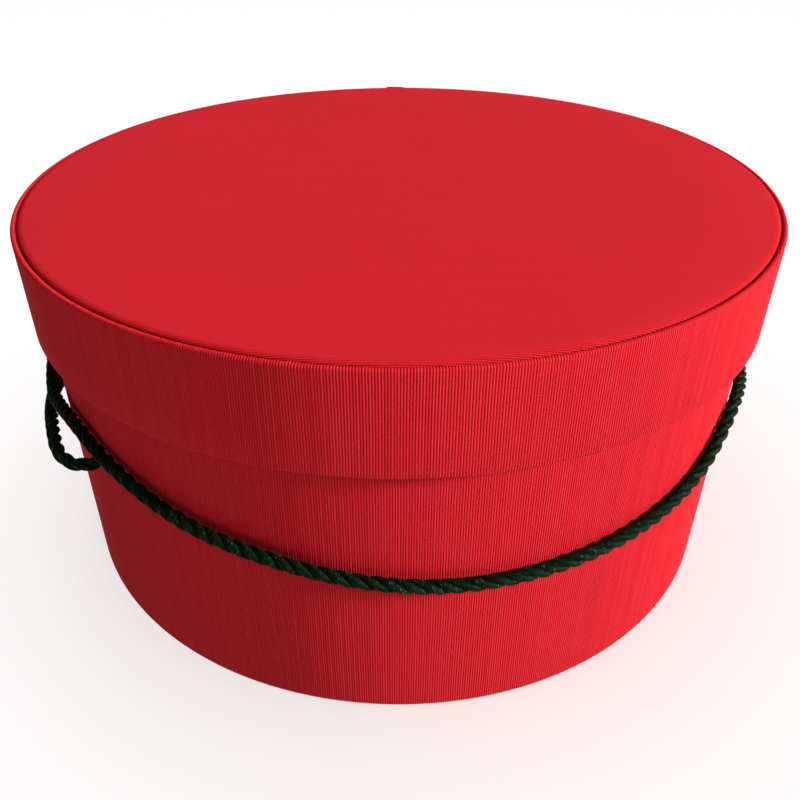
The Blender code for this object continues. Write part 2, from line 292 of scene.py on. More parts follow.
def add_lights(floor):
    """Studio light: a low key from the right, a soft light overhead and a weak one in front for
    the box, two even lights for the floor, and a dim room that looks as pale as the floor.
    """
    not_floor = link_group("all_but_the_floor", floor, "EXCLUDE")
    only_floor = link_group("only_the_floor", floor, "INCLUDE")
    key = add_sun("key", 76.0, 22.0, 7.6, 12.0, (1.0, 0.98, 0.96))
    top = add_sun("top", 180.0, 84.0, 1.1, 24.0, (1.0, 0.98, 0.96))
    front = add_area("front", (0.5, -0.85, 0.65), (0.0, 0.0, 0.15), 0.4, 3.0, (1.0, 0.99, 0.98))
    for light in (key, top, front):
        light.light_linking.receiver_collection = not_floor
    even = add_sun("floor_even", 0.0, 90.0, 3.5, 90.0, (1.0, 1.0, 1.0))
    shaded = add_sun("floor_shaded", 0.0, 90.0, 1.3, 110.0, (1.0, 1.0, 1.0))
    for light in (even, shaded):
        light.light_linking.receiver_collection = only_floor
    even.light_linking.blocker_collection = only_floor
    world = bpy.data.worlds.new("studio")
    world.use_nodes = True
    tree = world.node_tree
    background = tree.nodes["Background"]
    background.inputs["Color"].default_value = (1.0, 0.97, 0.94, 1.0)
    seen = tree.nodes.new("ShaderNodeLightPath").outputs["Is Camera Ray"]
    tree.links.new(spread(tree, seen, ROOM_LIGHT, ROOM_SEEN), background.inputs["Strength"])
    bpy.context.scene.world = world
    bpy.context.scene.view_settings.view_transform = "Standard"


# ---------------------------------------------------------------- node helpers


def new_material(name, roughness):
    """A material with a Principled shader: returns it, its node tree and the shader."""
    material = bpy.data.materials.new(name)
    material.use_nodes = True
    tree = material.node_tree
    shader = tree.nodes["Principled BSDF"]
    shader.inputs["Roughness"].default_value = roughness
    return material, tree, shader


def add_node(tree, kind, settings=(), inputs=()):
    """Add a shader node with its settings, and its inputs as values or as links."""
    node = tree.nodes.new(kind)
    for key, value in dict(settings).items():
        setattr(node, key, value)
    for key, value in dict(inputs).items():
        if isinstance(value, bpy.types.NodeSocket):
            tree.links.new(value, node.inputs[key])
        else:
            node.inputs[key].default_value = value
    return node


def calc(tree, operation, first, second=0.0, third=0.0):
    """The result of a Math node."""
    inputs = {0: first, 1: second, 2: third}
    return add_node(tree, "ShaderNodeMath", {"operation": operation}, inputs).outputs[0]


def noise(tree, vector, scale, detail=3.0, roughness=0.5):
    """The value of a noise texture."""
    inputs = {"Vector": vector, "Scale": scale, "Detail": detail, "Roughness": roughness}
    return add_node(tree, "ShaderNodeTexNoise", (), inputs).outputs["Fac"]


def blend_colours(tree, factor, first, second):
    """A mix of two colours."""
    node = add_node(tree, "ShaderNodeMix", {"data_type": "RGBA"}, {0: factor, 6: first, 7: second})
    return node.outputs[2]


def shade(tree, colour, value):
    """A colour made lighter or darker by a factor."""
    return add_node(
        tree, "ShaderNodeHueSaturation", (), {"Color": colour, "Value": value}
    ).outputs["Color"]


def spread(tree, value, low, high):
    """A 0 to 1 value spread over a range."""
    return calc(tree, "MULTIPLY_ADD", value, high - low, low)


def bump(tree, shader, height, distance, strength, before=None):
    """Drive the shader's normal from a height."""
    inputs = {"Height": height, "Distance": distance, "Strength": strength}
    if before is not None:
        inputs["Normal"] = before
    node = add_node(tree, "ShaderNodeBump", (), inputs)
    tree.links.new(node.outputs["Normal"], shader.inputs["Normal"])
    return node.outputs["Normal"]


def object_place(tree):
    """The place of a point in the piece's own coordinates."""
    return tree.nodes.new("ShaderNodeTexCoord").outputs["Object"]


def weave_place(tree):
    """The woven place of a point: ribs or yarns across, length along, and height from 0 to 1, which
    masks the painted groove shade and crest sheen.
    """
    node = tree.nodes.new("ShaderNodeAttribute")
    node.attribute_name = "weave"
    split = add_node(tree, "ShaderNodeSeparateXYZ", (), {0: node.outputs["Vector"]})
    return split.outputs[0], split.outputs[1], split.outputs[2]


# ---------------------------------------------------------------- materials


def cloth_material():
    """Red ribbed cloth: fine warp threads wrapped over thick straight weft ribs, with painted groove
    shade and crest sheen.
    """
    material, tree, shader = new_material("ribbed_cloth", 0.6)
    across, along, height = weave_place(tree)
    rib = calc(tree, "FLOOR", across)
    rib_tone = add_node(
        tree, "ShaderNodeTexWhiteNoise", {"noise_dimensions": "1D"}, {"W": rib}
    ).outputs["Value"]
    slub_place = add_node(
        tree,
        "ShaderNodeCombineXYZ",
        (),
        {0: across, 1: calc(tree, "MULTIPLY", along, 450.0), 2: rib_tone},
    ).outputs[0]
    slub = noise(tree, slub_place, 1.1, 4.0, 0.65)
    mottle = noise(tree, object_place(tree), 16.0, 3.0, 0.55)
    face = blend_colours(tree, mottle, (0.435, 0.0085, 0.0145, 1.0), (0.475, 0.0100, 0.0170, 1.0))
    # Painted shade: the grooves between the ribs are coloured a darker red, standing in for the shade
    # that falls in them.
    groove_painted_shade = (0.32, 0.0015, 0.0030, 1.0)
    crest = (0.49, 0.021, 0.030, 1.0)
    colour = blend_colours(tree, calc(tree, "POWER", height, 0.75), groove_painted_shade, face)
    # Painted sheen: the very tops of the crests are mixed towards a paler, less saturated red that
    # stands in for light glancing off them.
    colour = blend_colours(tree, calc(tree, "POWER", height, 6.0), colour, crest)
    grain = noise(tree, object_place(tree), 900.0, 2.0, 0.6)
    tone = calc(tree, "ADD", spread(tree, rib_tone, 0.98, 1.02), spread(tree, slub, -0.12, 0.12))
    tone = calc(tree, "ADD", tone, spread(tree, grain, -0.07, 0.07))
    tree.links.new(shade(tree, colour, tone), shader.inputs["Base Color"])
    tree.links.new(spread(tree, slub, 0.72, 0.92), shader.inputs["Roughness"])
    threads = calc(tree, "SINE", calc(tree, "MULTIPLY", along, math.tau / THREAD_PITCH))
    fibres = noise(tree, slub_place, 9.0, 3.0, 0.6)
    relief = calc(tree, "ADD", calc(tree, "MULTIPLY", threads, 0.08), fibres)
    bump(tree, shader, relief, 0.00005, 0.6)
    shader.inputs["Specular IOR Level"].default_value = 0.06
    shader.inputs["Sheen Weight"].default_value = 0.04
    shader.inputs["Sheen Roughness"].default_value = 0.5
    shader.inputs["Sheen Tint"].default_value = (1.0, 0.15, 0.20, 1.0)
    return material


def cord_material():
    """Dark green plied yarn, with painted shade between its yarns and painted glints on its fibres.
    """
    material, tree, shader = new_material("green_cord", 0.6)
    across, along, height = weave_place(tree)
    yarn = calc(tree, "FLOOR", across)
    tone = add_node(
        tree, "ShaderNodeTexWhiteNoise", {"noise_dimensions": "1D"}, {"W": yarn}
    ).outputs["Value"]
    place = add_node(
        tree,
        "ShaderNodeCombineXYZ",
        (),
        {0: across, 1: calc(tree, "MULTIPLY", along, 400.0), 2: tone},
    ).outputs[0]
    fibres = noise(tree, place, 3.0, 4.0, 0.65)
    face = blend_colours(tree, fibres, (0.0006, 0.0055, 0.0012, 1.0), (0.0018, 0.0120, 0.0030, 1.0))
    # Painted shade: the grooves between the yarns are coloured nearly black, standing in for the
    # shade that falls in them.
    groove_painted_shade = (0.0002, 0.0008, 0.0002, 1.0)
    colour = blend_colours(tree, calc(tree, "POWER", height, 0.8), groove_painted_shade, face)
    # Painted glints: sparse pale green flecks along the yarns stand in for light glinting off smooth
    # fibres.
    painted_glint_place = add_node(
        tree,
        "ShaderNodeCombineXYZ",
        (),
        {0: calc(tree, "MULTIPLY", across, 2.6), 1: calc(tree, "MULTIPLY", along, 420.0), 2: tone},
    ).outputs[0]
    fleck = noise(tree, painted_glint_place, 1.0, 3.0, 0.7)
    painted_glint = calc(tree, "MULTIPLY", calc(tree, "SUBTRACT", fleck, 0.60), 9.0)
    painted_glint = add_node(tree, "ShaderNodeClamp", (), {0: painted_glint, 1: 0.0, 2: 0.8}).outputs[0]
    colour = blend_colours(tree, painted_glint, colour, (0.080, 0.140, 0.080, 1.0))
    tree.links.new(
        shade(tree, colour, spread(tree, tone, 0.8, 1.2)), shader.inputs["Base Color"]
    )
    tree.links.new(spread(tree, fibres, 0.42, 0.72), shader.inputs["Roughness"])
    bump(tree, shader, fibres, 0.00008, 0.7)
    shader.inputs["Specular IOR Level"].default_value = 0.04
    return material


def whipping_material():
    """Waxed black thread wound round a cord's end."""
    material, tree, shader = new_material("whipping_thread", 0.4)
    place = object_place(tree)
    mottle = noise(tree, place, 900.0, 3.0)
    colour = blend_colours(tree, mottle, (0.010, 0.014, 0.012, 1.0), (0.03, 0.04, 0.035, 1.0))
    tree.links.new(colour, shader.inputs["Base Color"])
    tree.links.new(spread(tree, mottle, 0.30, 0.52), shader.inputs["Roughness"])
    bump(tree, shader, mottle, 0.00005, 0.5)
    return material


def paper_material(name, dark, light, flecks):
    """Uncoated paper: cloudy sheet, short fibres and a slight tooth."""
    material, tree, shader = new_material(name, 0.85)
    place = object_place(tree)
    cloud = noise(tree, place, 22.0, 4.0, 0.55)
    fibre = noise(tree, place, 1500.0, 2.0, 0.7)
    fleck = noise(tree, place, 420.0, 2.0, 0.5)
    sheet = blend_colours(tree, cloud, dark, light)
    spots = calc(tree, "GREATER_THAN", fleck, flecks)
    colour = blend_colours(tree, calc(tree, "MULTIPLY", spots, 0.25), sheet, (0.30, 0.24, 0.16, 1.0))
    tone = spread(tree, fibre, 0.95, 1.05)
    tree.links.new(shade(tree, colour, tone), shader.inputs["Base Color"])
    tree.links.new(spread(tree, fibre, 0.78, 0.92), shader.inputs["Roughness"])
    wrinkle = noise(tree, place, 60.0, 3.0, 0.5)
    first = bump(tree, shader, wrinkle, 0.0004, 0.25)
    bump(tree, shader, fibre, 0.00005, 0.5, first)
    shader.inputs["Specular IOR Level"].default_value = 0.3
    return material


def board_material():
    """Grey pasteboard made of pressed waste paper."""
    material, tree, shader = new_material("pasteboard", 0.9)
    place = object_place(tree)
    cloud = noise(tree, place, 90.0, 5.0, 0.65)
    fleck = noise(tree, place, 700.0, 2.0, 0.6)
    base = blend_colours(tree, cloud, (0.26, 0.22, 0.18, 1.0), (0.42, 0.37, 0.31, 1.0))
    tree.links.new(shade(tree, base, spread(tree, fleck, 0.8, 1.2)), shader.inputs["Base Color"])
    tree.links.new(spread(tree, fleck, 0.82, 0.96), shader.inputs["Roughness"])
    bump(tree, shader, fleck, 0.0001, 0.6)
    return material


def floor_material():
    """A plain pale studio floor."""
    material, _, shader = new_material("studio_floor", 0.7)
    shader.inputs["Base Color"].default_value = (0.66, 0.66, 0.66, 1.0)
    shader.inputs["Specular IOR Level"].default_value = 0.1
    return material


# ---------------------------------------------------------------- mesh helpers


def make_piece(name, vertices, faces, material, weave=None, sharp=70.0):
    """A mesh object from vertices and faces, shaded smooth but for its sharp edges."""
    mesh = bpy.data.meshes.new(name)
    mesh.from_pydata(vertices.tolist(), [], faces)
    mesh.materials.append(material)
    if weave is not None:
        layer = mesh.attributes.new("weave", "FLOAT_VECTOR", "POINT")
        layer.data.foreach_set("vector", weave.astype(np.float32).ravel())
    mesh.shade_smooth()
    mesh.set_sharp_from_angle(angle=math.radians(sharp))
    piece = bpy.data.objects.new(name, mesh)
    bpy.context.scene.collection.objects.link(piece)
    return piece


def finish_piece(piece, body, slot, *nodes):
    """Fix a piece to its body and hide the nodes it stands for; its slot, the finish, is not used."""
    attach(piece, body)
    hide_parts(*nodes)
    return piece


def arc(centre, radius, start, end, steps):
    """Points of an arc in the (radius, height) plane, by angles in degrees from outwards."""
    angles = np.radians(np.linspace(start, end, steps + 1))
    return [(centre[0] + radius * math.cos(a), centre[1] + radius * math.sin(a)) for a in angles]


def grid_quads(rows, columns, first=0, flip=False):
    """Quads of a grid of vertices that is stored row by row."""
    corner = first + np.arange(rows - 1)[:, None] * columns + np.arange(columns - 1)
    quads = np.stack([corner, corner + 1, corner + columns + 1, corner + columns], axis=-1)
    if flip:
        quads = quads[..., ::-1]
    return quads.reshape(-1, 4).tolist()


def profile_normals(profile):
    """Unit normals on the left of a line of (radius, height) points."""
    tangent = np.gradient(profile, axis=0)
    tangent /= np.linalg.norm(tangent, axis=1)[:, None]
    return np.stack([-tangent[:, 1], tangent[:, 0]], axis=1)


def rib_height(phase):
    """Height of the cloth across one rib, from 0 in the groove to 1 on the crest."""
    return np.abs(np.sin(np.pi * phase)) ** 0.8


def uneven(angle, height, seed):
    """A slow unevenness between -1 and 1 over the wall, the same each time."""
    phases = np.random.default_rng(seed).uniform(0.0, math.tau, 6)
    total = np.sin(3 * angle + phases[0] + 9 * height) + 0.8 * np.sin(7 * angle + phases[1])
    total = total + 0.6 * np.sin(13 * angle + phases[2] + 30 * height)
    total = total + 0.5 * np.sin(29 * angle + phases[3] - 45 * height)
    total = total + 0.3 * np.sin(61 * angle + phases[4] + 60 * height)
    return total / 2.4


def ribbed_band(name, profile, lift, radius, seed, material):
    """Ribbed cloth glued round a hoop, with its ribs along the profile and a lapped seam.

    The profile is the line of the ribs' crests, and lift says how far the lap raises each point.
    """
    ribs = round(math.tau * radius / RIB_PITCH)
    total = ribs + LAP_RIBS
    generator = np.random.default_rng(seed)
    height_factor = generator.uniform(0.85, 1.10, total + 1)
    shift = generator.uniform(-0.07, 0.07, total + 1)
    column = np.arange(4 * total + 1)
    rib = column // 4
    phase = np.array(RIB_PHASES)[column % 4]
    crest = rib_height(phase) * height_factor[rib]
    count = rib + phase + np.where(phase == 0.0, shift[rib], 0.0)
    distance = count * RIB_PITCH
    lap = LAP_RIBS * RIB_PITCH
    raised = np.interp(distance, [0.0, lap, 1.3 * lap], [LAP_LIP, LAP_STEP, 0.0])
    profile = np.array(profile)
    normal = profile_normals(profile)
    length = np.concatenate([[0.0], np.cumsum(np.linalg.norm(np.diff(profile, axis=0), axis=1))])
    lift = np.array(lift)[:, None]

    def surface(column_count, column_raise, offset):
        angle = math.radians(SEAM_AZIMUTH) - column_count * math.tau / ribs
        z = profile[:, 1][:, None]
        sway = RIB_SWAY * uneven(angle * 0.6, z * 1.3, seed + 1) * RIB_PITCH / radius
        out = offset + lift * (column_raise + WALL_UNEVENNESS * uneven(angle, z, seed + 2))
        r = profile[:, 0][:, None] + normal[:, 0][:, None] * out
        h = z + normal[:, 1][:, None] * out
        around = angle + sway
        return np.stack([r * np.sin(around), -r * np.cos(around), h + 0 * around], axis=-1)

    rows = len(profile)
    columns = len(column)
    front = surface(count, raised, RIB_DEPTH * (np.minimum(crest, 1.0) - 1.0))
    backs = total + 1
    back = surface(count[::4], raised[::4], -CLOTH)
    vertices = np.concatenate([front.reshape(-1, 3), back.reshape(-1, 3)])
    first = rows * columns
    faces = grid_quads(rows, columns, 0, flip=True) + grid_quads(rows, backs, first)
    for k in range(total):
        top = list(range(4 * k, 4 * k + 5))
        faces.append(top + [first + k + 1, first + k])
        last = (rows - 1) * columns
        low = [last + c for c in range(4 * k, 4 * k + 5)]
        tail = first + (rows - 1) * backs
        faces.append(low[::-1] + [tail + k, tail + k + 1])
    for i in range(rows - 1):
        a, b = i * columns, (i + 1) * columns
        c, d = first + i * backs, first + (i + 1) * backs
        faces.append([a, c, d, b])
        faces.append([a + columns - 1, b + columns - 1, d + backs - 1, c + backs - 1])
    weave = np.zeros((len(vertices), 3))
    weave[:first, 0] = np.tile(count, rows)
    weave[:first, 1] = np.repeat(length, columns)
    # The crest height is the mask from which the cloth's material paints shade in the grooves and
    # sheen on the crests.
    weave[:first, 2] = np.tile(np.minimum(crest, 1.0), rows)
    weave[first:, 0] = np.tile(count[::4], rows)
    weave[first:, 1] = np.repeat(length, backs)
    weave[first:, 2] = 0.6
    return make_piece(name, vertices, faces, material, weave)


def hole_cutter(azimuth):
    """A round bar along a cord hole."""
    bpy.ops.mesh.primitive_cylinder_add(vertices=48, radius=HOLE_RADIUS, depth=HOLE_CUT)
    cutter = bpy.context.object
    cutter.location = on_circle(azimuth, BASE_RADIUS - WALL / 2, HOLE_HEIGHT)
    cutter.rotation_euler = (math.pi / 2, 0.0, math.radians(azimuth))
    return cutter


def punch_holes(piece):
    """Cut both cord holes through a piece of the base's wall."""
    for azimuth in (HOLE_AZIMUTH, HOLE_AZIMUTH + 180.0):
        cutter = hole_cutter(azimuth)
        boolean = piece.modifiers.new("hole", "BOOLEAN")
        boolean.operation = "DIFFERENCE"
        boolean.solver = "MANIFOLD"
        boolean.object = cutter
        bpy.context.view_layer.update()
        evaluated = piece.evaluated_get(bpy.context.evaluated_depsgraph_get())
        mesh = bpy.data.meshes.new_from_object(evaluated)
        piece.modifiers.remove(boolean)
        piece.data = mesh
        bpy.data.objects.remove(cutter, do_unlink=True)


# ---------------------------------------------------------------- cloth covers


def make_lid_cover(material):
    """The lid's side cover, from under the panel over the rim and round the skirt's edge."""
    middle = LID_RADIUS - WALL / 2
    inner = LID_RADIUS - WALL
    roll = WALL / 2
    flap = PANEL_BOTTOM - GAP
    clear = 0.00002
    rim = arc((middle, RIM_TOP - roll), roll, 158.0, 0.0, 6)
    heights = np.linspace(RIM_TOP - roll, SKIRT_BOTTOM + roll, 4)[1:-1]
    wall = [(LID_RADIUS, z) for z in heights]
    edge = arc((middle, SKIRT_BOTTOM + roll), roll, 0.0, -180.0, 4)
    profile = [(inner - TOP_TURN_IN, flap), (inner - GAP, flap), (inner + clear, flap + GAP)]
    profile += rim + wall + edge + [(inner, SKIRT_BOTTOM + LID_TURN_IN)]
    lift = [0.0, 0.0, 0.0, 0.1, 0.5, 0.9, 1.0, 1.0, 1.0, 1.0] + [1.0] * len(wall)
    lift += [1.0, 0.9, 0.5, 0.2, 0.0, 0.0]
    cover = ribbed_band("lid_cover_cloth", profile, lift, LID_RADIUS, 11, material)
    return finish_piece(cover, "lid", "ribbed_cover", "lid_side_cover")


def make_base_cover(material):
    """The base's side cover, from inside the wall over its rim and under the foot."""
    middle = BASE_RADIUS - WALL / 2
    inner = BASE_RADIUS - WALL
    roll = WALL / 2
    foot = 0.0010
    rim = arc((middle, BASE_TOP - roll), roll, 180.0, 0.0, 6)
    wall = [(BASE_RADIUS, z) for z in np.linspace(BASE_TOP - roll, foot, 7)[1:-1]]
    edge = arc((BASE_RADIUS - foot, foot), foot, 0.0, -90.0, 3)
    profile = [(inner, BASE_TOP - BASE_TURN_IN)] + rim + wall + edge
    profile += [(BASE_RADIUS - FOOT_TURN_IN, 0.0)]
    lift = [0.0, 0.0, 0.1, 0.2, 0.25, 0.4, 0.8, 1.0] + [1.0] * len(wall)
    lift += [0.8, 0.4, 0.1, 0.0, 0.0]
    cover = ribbed_band("base_cover_cloth", profile, lift, BASE_RADIUS, 23, material)
    punch_holes(cover)
    return finish_piece(cover, "base", "ribbed_cover", "base_side_cover")


def panel_rows(radius):
    """Distances from the middle of the lines along the panel's ribs, within a radius."""
    reach = int(radius / RIB_PITCH) + 2
    rows = [(rib + phase) * RIB_PITCH for rib in range(-reach, reach) for phase in RIB_PHASES]
    return np.array([y for y in rows if abs(y) < 0.9998 * radius])


def ring_angles(rows, distances):
    """Angles of the ring's columns at each unrolled distance from the middle.

    The columns follow the ribs over the edge, with more of them in the gaps at the front and back.
    Also returns each row's column on the right and on the left.
    """

    def around(distance):
        right = np.arcsin(rows / distance)
        return np.concatenate([right, math.pi - right[::-1], [right[0] + math.tau]])

    steps = (np.diff(around(distances[-1])) / FILL_ANGLE).astype(int) + 1
    place = np.concatenate([[0], np.cumsum(steps)])
    column = np.arange(place[-1])
    angles = np.array([np.interp(column, place, around(distance)) for distance in distances])
    return angles, place[: len(rows)], place[len(rows) : -1][::-1]


def panel_relief(x, y, edge):
    """Height of the panel's cloth below its crest line, and its tone from 0 to 1 in a rib, which sets
    its painted groove shade and crest sheen.

    The ribs are pressed flat on the panel, and open up where the cloth rolls over its edge.
    """
    count = y / RIB_PITCH
    factor = np.random.default_rng(31).uniform(0.92, 1.05, 1000)
    rib = np.floor(count + 1e-6).astype(int) + 500
    height = np.minimum(rib_height(np.mod(count, 1.0)) * factor[rib], 1.0)
    depth = PANEL_RIB_DEPTH + (EDGE_RIB_DEPTH - PANEL_RIB_DEPTH) * edge
    slow = np.sin(23 * x + 1.3) + np.sin(31 * y + 0.4 + 9 * x) + 0.5 * np.sin(71 * x - 40 * y)
    # Painted shade and sheen: over the rolled edge the tone follows the rib's height, darkening the
    # grooves and lightening the crests; on the flat it stays nearly even.
    tone = (0.76 + 0.03 * height) * (1 - edge) + height**2.0 * edge
    return depth * (height - 1.0) + PANEL_UNEVENNESS * (slow - 2.5) * (1 - edge), tone


def make_panel_cover(material):
    """The cloth over the lid's panel, its ribs straight across and its edge rolled down."""
    flat = PANEL_RADIUS - PANEL_ROLL
    start = flat - PANEL_MARGIN
    rows = panel_rows(start)
    fold_centre = (PANEL_RADIUS - PANEL_FOLD, PANEL_BOTTOM + PANEL_FOLD)
    outline = [(start, PANEL_TOP)]
    for angle in np.radians(np.linspace(90.0, 0.0, 13)):
        drop = PANEL_DROP * (1.0 - math.sin(angle))
        outline.append((flat + PANEL_ROLL * math.cos(angle), PANEL_TOP - drop))
    outline += arc(fold_centre, PANEL_FOLD, 0.0, -90.0, 3)
    outline += [(PANEL_RADIUS - TOP_TURN_IN, PANEL_BOTTOM)]
    outline = np.array(outline)
    normal = profile_normals(outline)
    normal[0] = (0.0, 1.0)
    length = np.concatenate([[0.0], np.cumsum(np.linalg.norm(np.diff(outline, axis=0), axis=1))])
    angles, right, left = ring_angles(rows, start + length)
    across = (start + length)[:, None] * np.sin(angles)
    along = (start + length)[:, None] * np.cos(angles)
    opened = np.clip(length / EDGE_OPENING, 0.0, 1.0)[:, None]
    relief, tone = panel_relief(along, across, opened)
    r = outline[:, 0][:, None] + normal[:, 0][:, None] * relief
    z = outline[:, 1][:, None] + normal[:, 1][:, None] * relief
    ring = np.stack([r * np.cos(angles), r * np.sin(angles), z], axis=-1)
    levels, columns = ring.shape[:2]
    ring_weave = np.stack([across / RIB_PITCH, along, tone], axis=-1)

    # Inside the ring, each row of the weave runs straight from side to side.
    half = np.sqrt(start**2 - rows**2)[:, None]
    x = half * np.linspace(-1.0, 1.0, PANEL_COLUMNS + 1)[1:-1]
    y = rows[:, None] + 0 * x
    inside_relief, inside_tone = panel_relief(x, y, 0.0)
    fade = 1.0 - (x**2 + y**2) / start**2
    sway = PANEL_RIB_SWAY * RIB_PITCH * fade * np.sin(40 * x + 1.0 + 17 * y)
    inside = np.stack([x, y + sway, PANEL_TOP + inside_relief], axis=-1)
    inside_weave = np.stack([y / RIB_PITCH, x, inside_tone], axis=-1)

    # The hidden side of the cloth has one column for every four of the ring.
    picks = list(range(0, columns, 4))
    hidden = (outline - CLOTH * normal)[:, None, :]
    turn = angles[:, picks]
    back_x = hidden[..., 0] * np.cos(turn)
    back_y = hidden[..., 0] * np.sin(turn)
    back = np.stack([back_x, back_y, hidden[..., 1] + 0 * turn], axis=-1)
    first_inside = levels * columns
    first_back = first_inside + inside[..., 0].size
    backs = len(picks)
    faces = []
    for i in range(levels - 1):
        near, far = i * columns, (i + 1) * columns
        for j in range(columns):
            k = (j + 1) % columns
            faces.append((near + j, far + j, far + k, near + k))
        near, far = first_back + i * backs, first_back + (i + 1) * backs
        for j in range(backs):
            k = (j + 1) % backs
            faces.append((near + k, far + k, far + j, near + j))
    last = (levels - 1) * columns
    back_last = first_back + (levels - 1) * backs
    for j, pick in enumerate(picks):
        stop = picks[j + 1] if j + 1 < backs else columns
        run = [last + c % columns for c in range(pick, stop + 1)]
        faces.append(run[::-1] + [back_last + j, back_last + (j + 1) % backs])
    faces.append([first_back + j for j in range(backs)][::-1])
    wide = PANEL_COLUMNS - 1

    def row_vertices(k):
        return [left[k]] + [first_inside + k * wide + j for j in range(wide)] + [right[k]]

    for k in range(len(rows) - 1):
        low, high = row_vertices(k), row_vertices(k + 1)
        for j in range(PANEL_COLUMNS):
            face = [low[j], low[j + 1]]
            if j == PANEL_COLUMNS - 1:
                face += range(right[k] + 1, right[k + 1])
            face += [high[j + 1], high[j]]
            if j == 0:
                face += range(left[k + 1] + 1, left[k])
            faces.append(face)
    faces.append(row_vertices(len(rows) - 1) + list(range(right[-1] + 1, left[-1])))
    faces.append(row_vertices(0)[::-1] + list(range(left[0] + 1, columns)))

    vertices = np.concatenate([ring.reshape(-1, 3), inside.reshape(-1, 3), back.reshape(-1, 3)])
    weave = np.concatenate([ring_weave.reshape(-1, 3), inside_weave.reshape(-1, 3)])
    plain = np.tile([0.5, 0.0, 0.6], (backs * levels, 1))
    weave = np.concatenate([weave, plain])
    cover = make_piece("lid_panel_cloth", vertices, faces, material, weave)
    return finish_piece(cover, "lid", "ribbed_cover", "lid_panel_cover")


# ---------------------------------------------------------------- papers


def turned(name, outline, material, segments=240, start=0.0, sweep=360.0):
    """A closed turned piece from a closed outline of (radius, height) points."""
    whole = sweep >= 360.0
    count = segments if whole else segments + 1
    angles = np.radians(start + sweep * np.arange(count) / segments)
    outline = np.array(outline)
    size = len(outline)
    r = outline[:, 0][:, None]
    z = outline[:, 1][:, None]
    vertices = np.stack([r * np.sin(angles), -r * np.cos(angles), z + 0 * angles], axis=-1)
    faces = []
    for i in range(size):
        near, far = i * count, (i + 1) % size * count
        for j in range(count if whole else count - 1):
            k = (j + 1) % count
            faces.append((near + j, near + k, far + k, far + j))
    if not whole:
        faces.append([i * count for i in range(size)])
        faces.append([i * count + count - 1 for i in range(size)][::-1])
    return make_piece(name, vertices.reshape(-1, 3), faces, material, sharp=35.0)


def soft_edge(radius, bottom, top):
    """Outline of a disc's edge with softened corners."""
    soft = (top - bottom) / 3
    outline = [(radius - soft, top), (radius, top - soft), (radius, bottom + soft)]
    return outline + [(radius - soft, bottom)]


def disc(name, outline, material, segments=240):
    """A flat disc with the outline of its edge given from top to bottom."""
    angles = math.tau * np.arange(segments) / segments
    rings = [
        np.stack([r * np.sin(angles), -r * np.cos(angles), z + 0 * angles], axis=-1)
        for r, z in outline
    ]
    faces = []
    for i in range(len(outline) - 1):
        for j in range(segments):
            k = (j + 1) % segments
            near, far = i * segments, (i + 1) * segments
            faces.append((near + k, near + j, far + j, far + k))
    faces.append(list(range(segments)))
    last = (len(outline) - 1) * segments
    faces.append([last + j for j in range(segments)][::-1])
    return make_piece(name, np.concatenate(rings), faces, material, sharp=35.0)


def hoop_outline(outer, inner, bottom, top):
    """A paper hoop's section with its corners softened."""
    soft = (outer - inner) / 3
    return [
        (outer - soft, top),
        (inner + soft, top),
        (inner, top - soft),
        (inner, bottom + soft),
        (inner + soft, bottom),
        (outer - soft, bottom),
        (outer, bottom + soft),
        (outer, top - soft),
    ]


def make_hoop_paper(name, node, body, thickness, material):
    """A lining hoop in the place of its node."""
    low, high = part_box(node)
    outline = hoop_outline(high.x, high.x - thickness, low.z, high.z)
    paper = turned(name, outline, material)
    if body == "base":
        punch_holes(paper)
    return finish_piece(paper, body, "lining_paper", node)


def make_disc_paper(name, node, body, slot, material):
    """A round sheet in the place of its node."""
    low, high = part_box(node)
    sheet = disc(name, soft_edge(high.x, low.z, high.z), material)
    return finish_piece(sheet, body, slot, node)


def make_panel_board(material):
    """The board inside the panel's cloth, its upper edge pressed round."""
    low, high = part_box("lid_panel_board")
    straight = 0.2
    foot = low.z + straight * (high.z - low.z)
    outline = []
    for angle in np.radians(np.linspace(90.0, 0.0, 7)):
        reach = high.x - PANEL_ROLL * (1.0 - math.cos(angle))
        outline.append((reach, foot + (high.z - foot) * math.sin(angle)))
    board = disc("panel_board_disc", outline + [(high.x, low.z)], material)
    return finish_piece(board, "lid", "grey_board", "lid_panel_board")


def make_tape(name, node, body, thickness, material):
    """The paper tape over a hoop's butt joint, in the place of its node."""
    low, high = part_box(node)
    outer = math.hypot(low.x, high.y)
    degrees = 9.0
    start = SEAM_AZIMUTH - degrees / 2
    outline = hoop_outline(outer, outer - thickness, low.z, high.z)
    tape = turned(name, outline, material, 24, start, degrees)
    return finish_piece(tape, body, "joint_tape", node)


def dress_boards(material):
    """Give the carried-over boards their pasteboard."""
    for name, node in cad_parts.items():
        if name.endswith("_board") and name != "lid_panel_board":
            node.data.materials.clear()
            node.data.materials.append(material)


# ---------------------------------------------------------------- cord


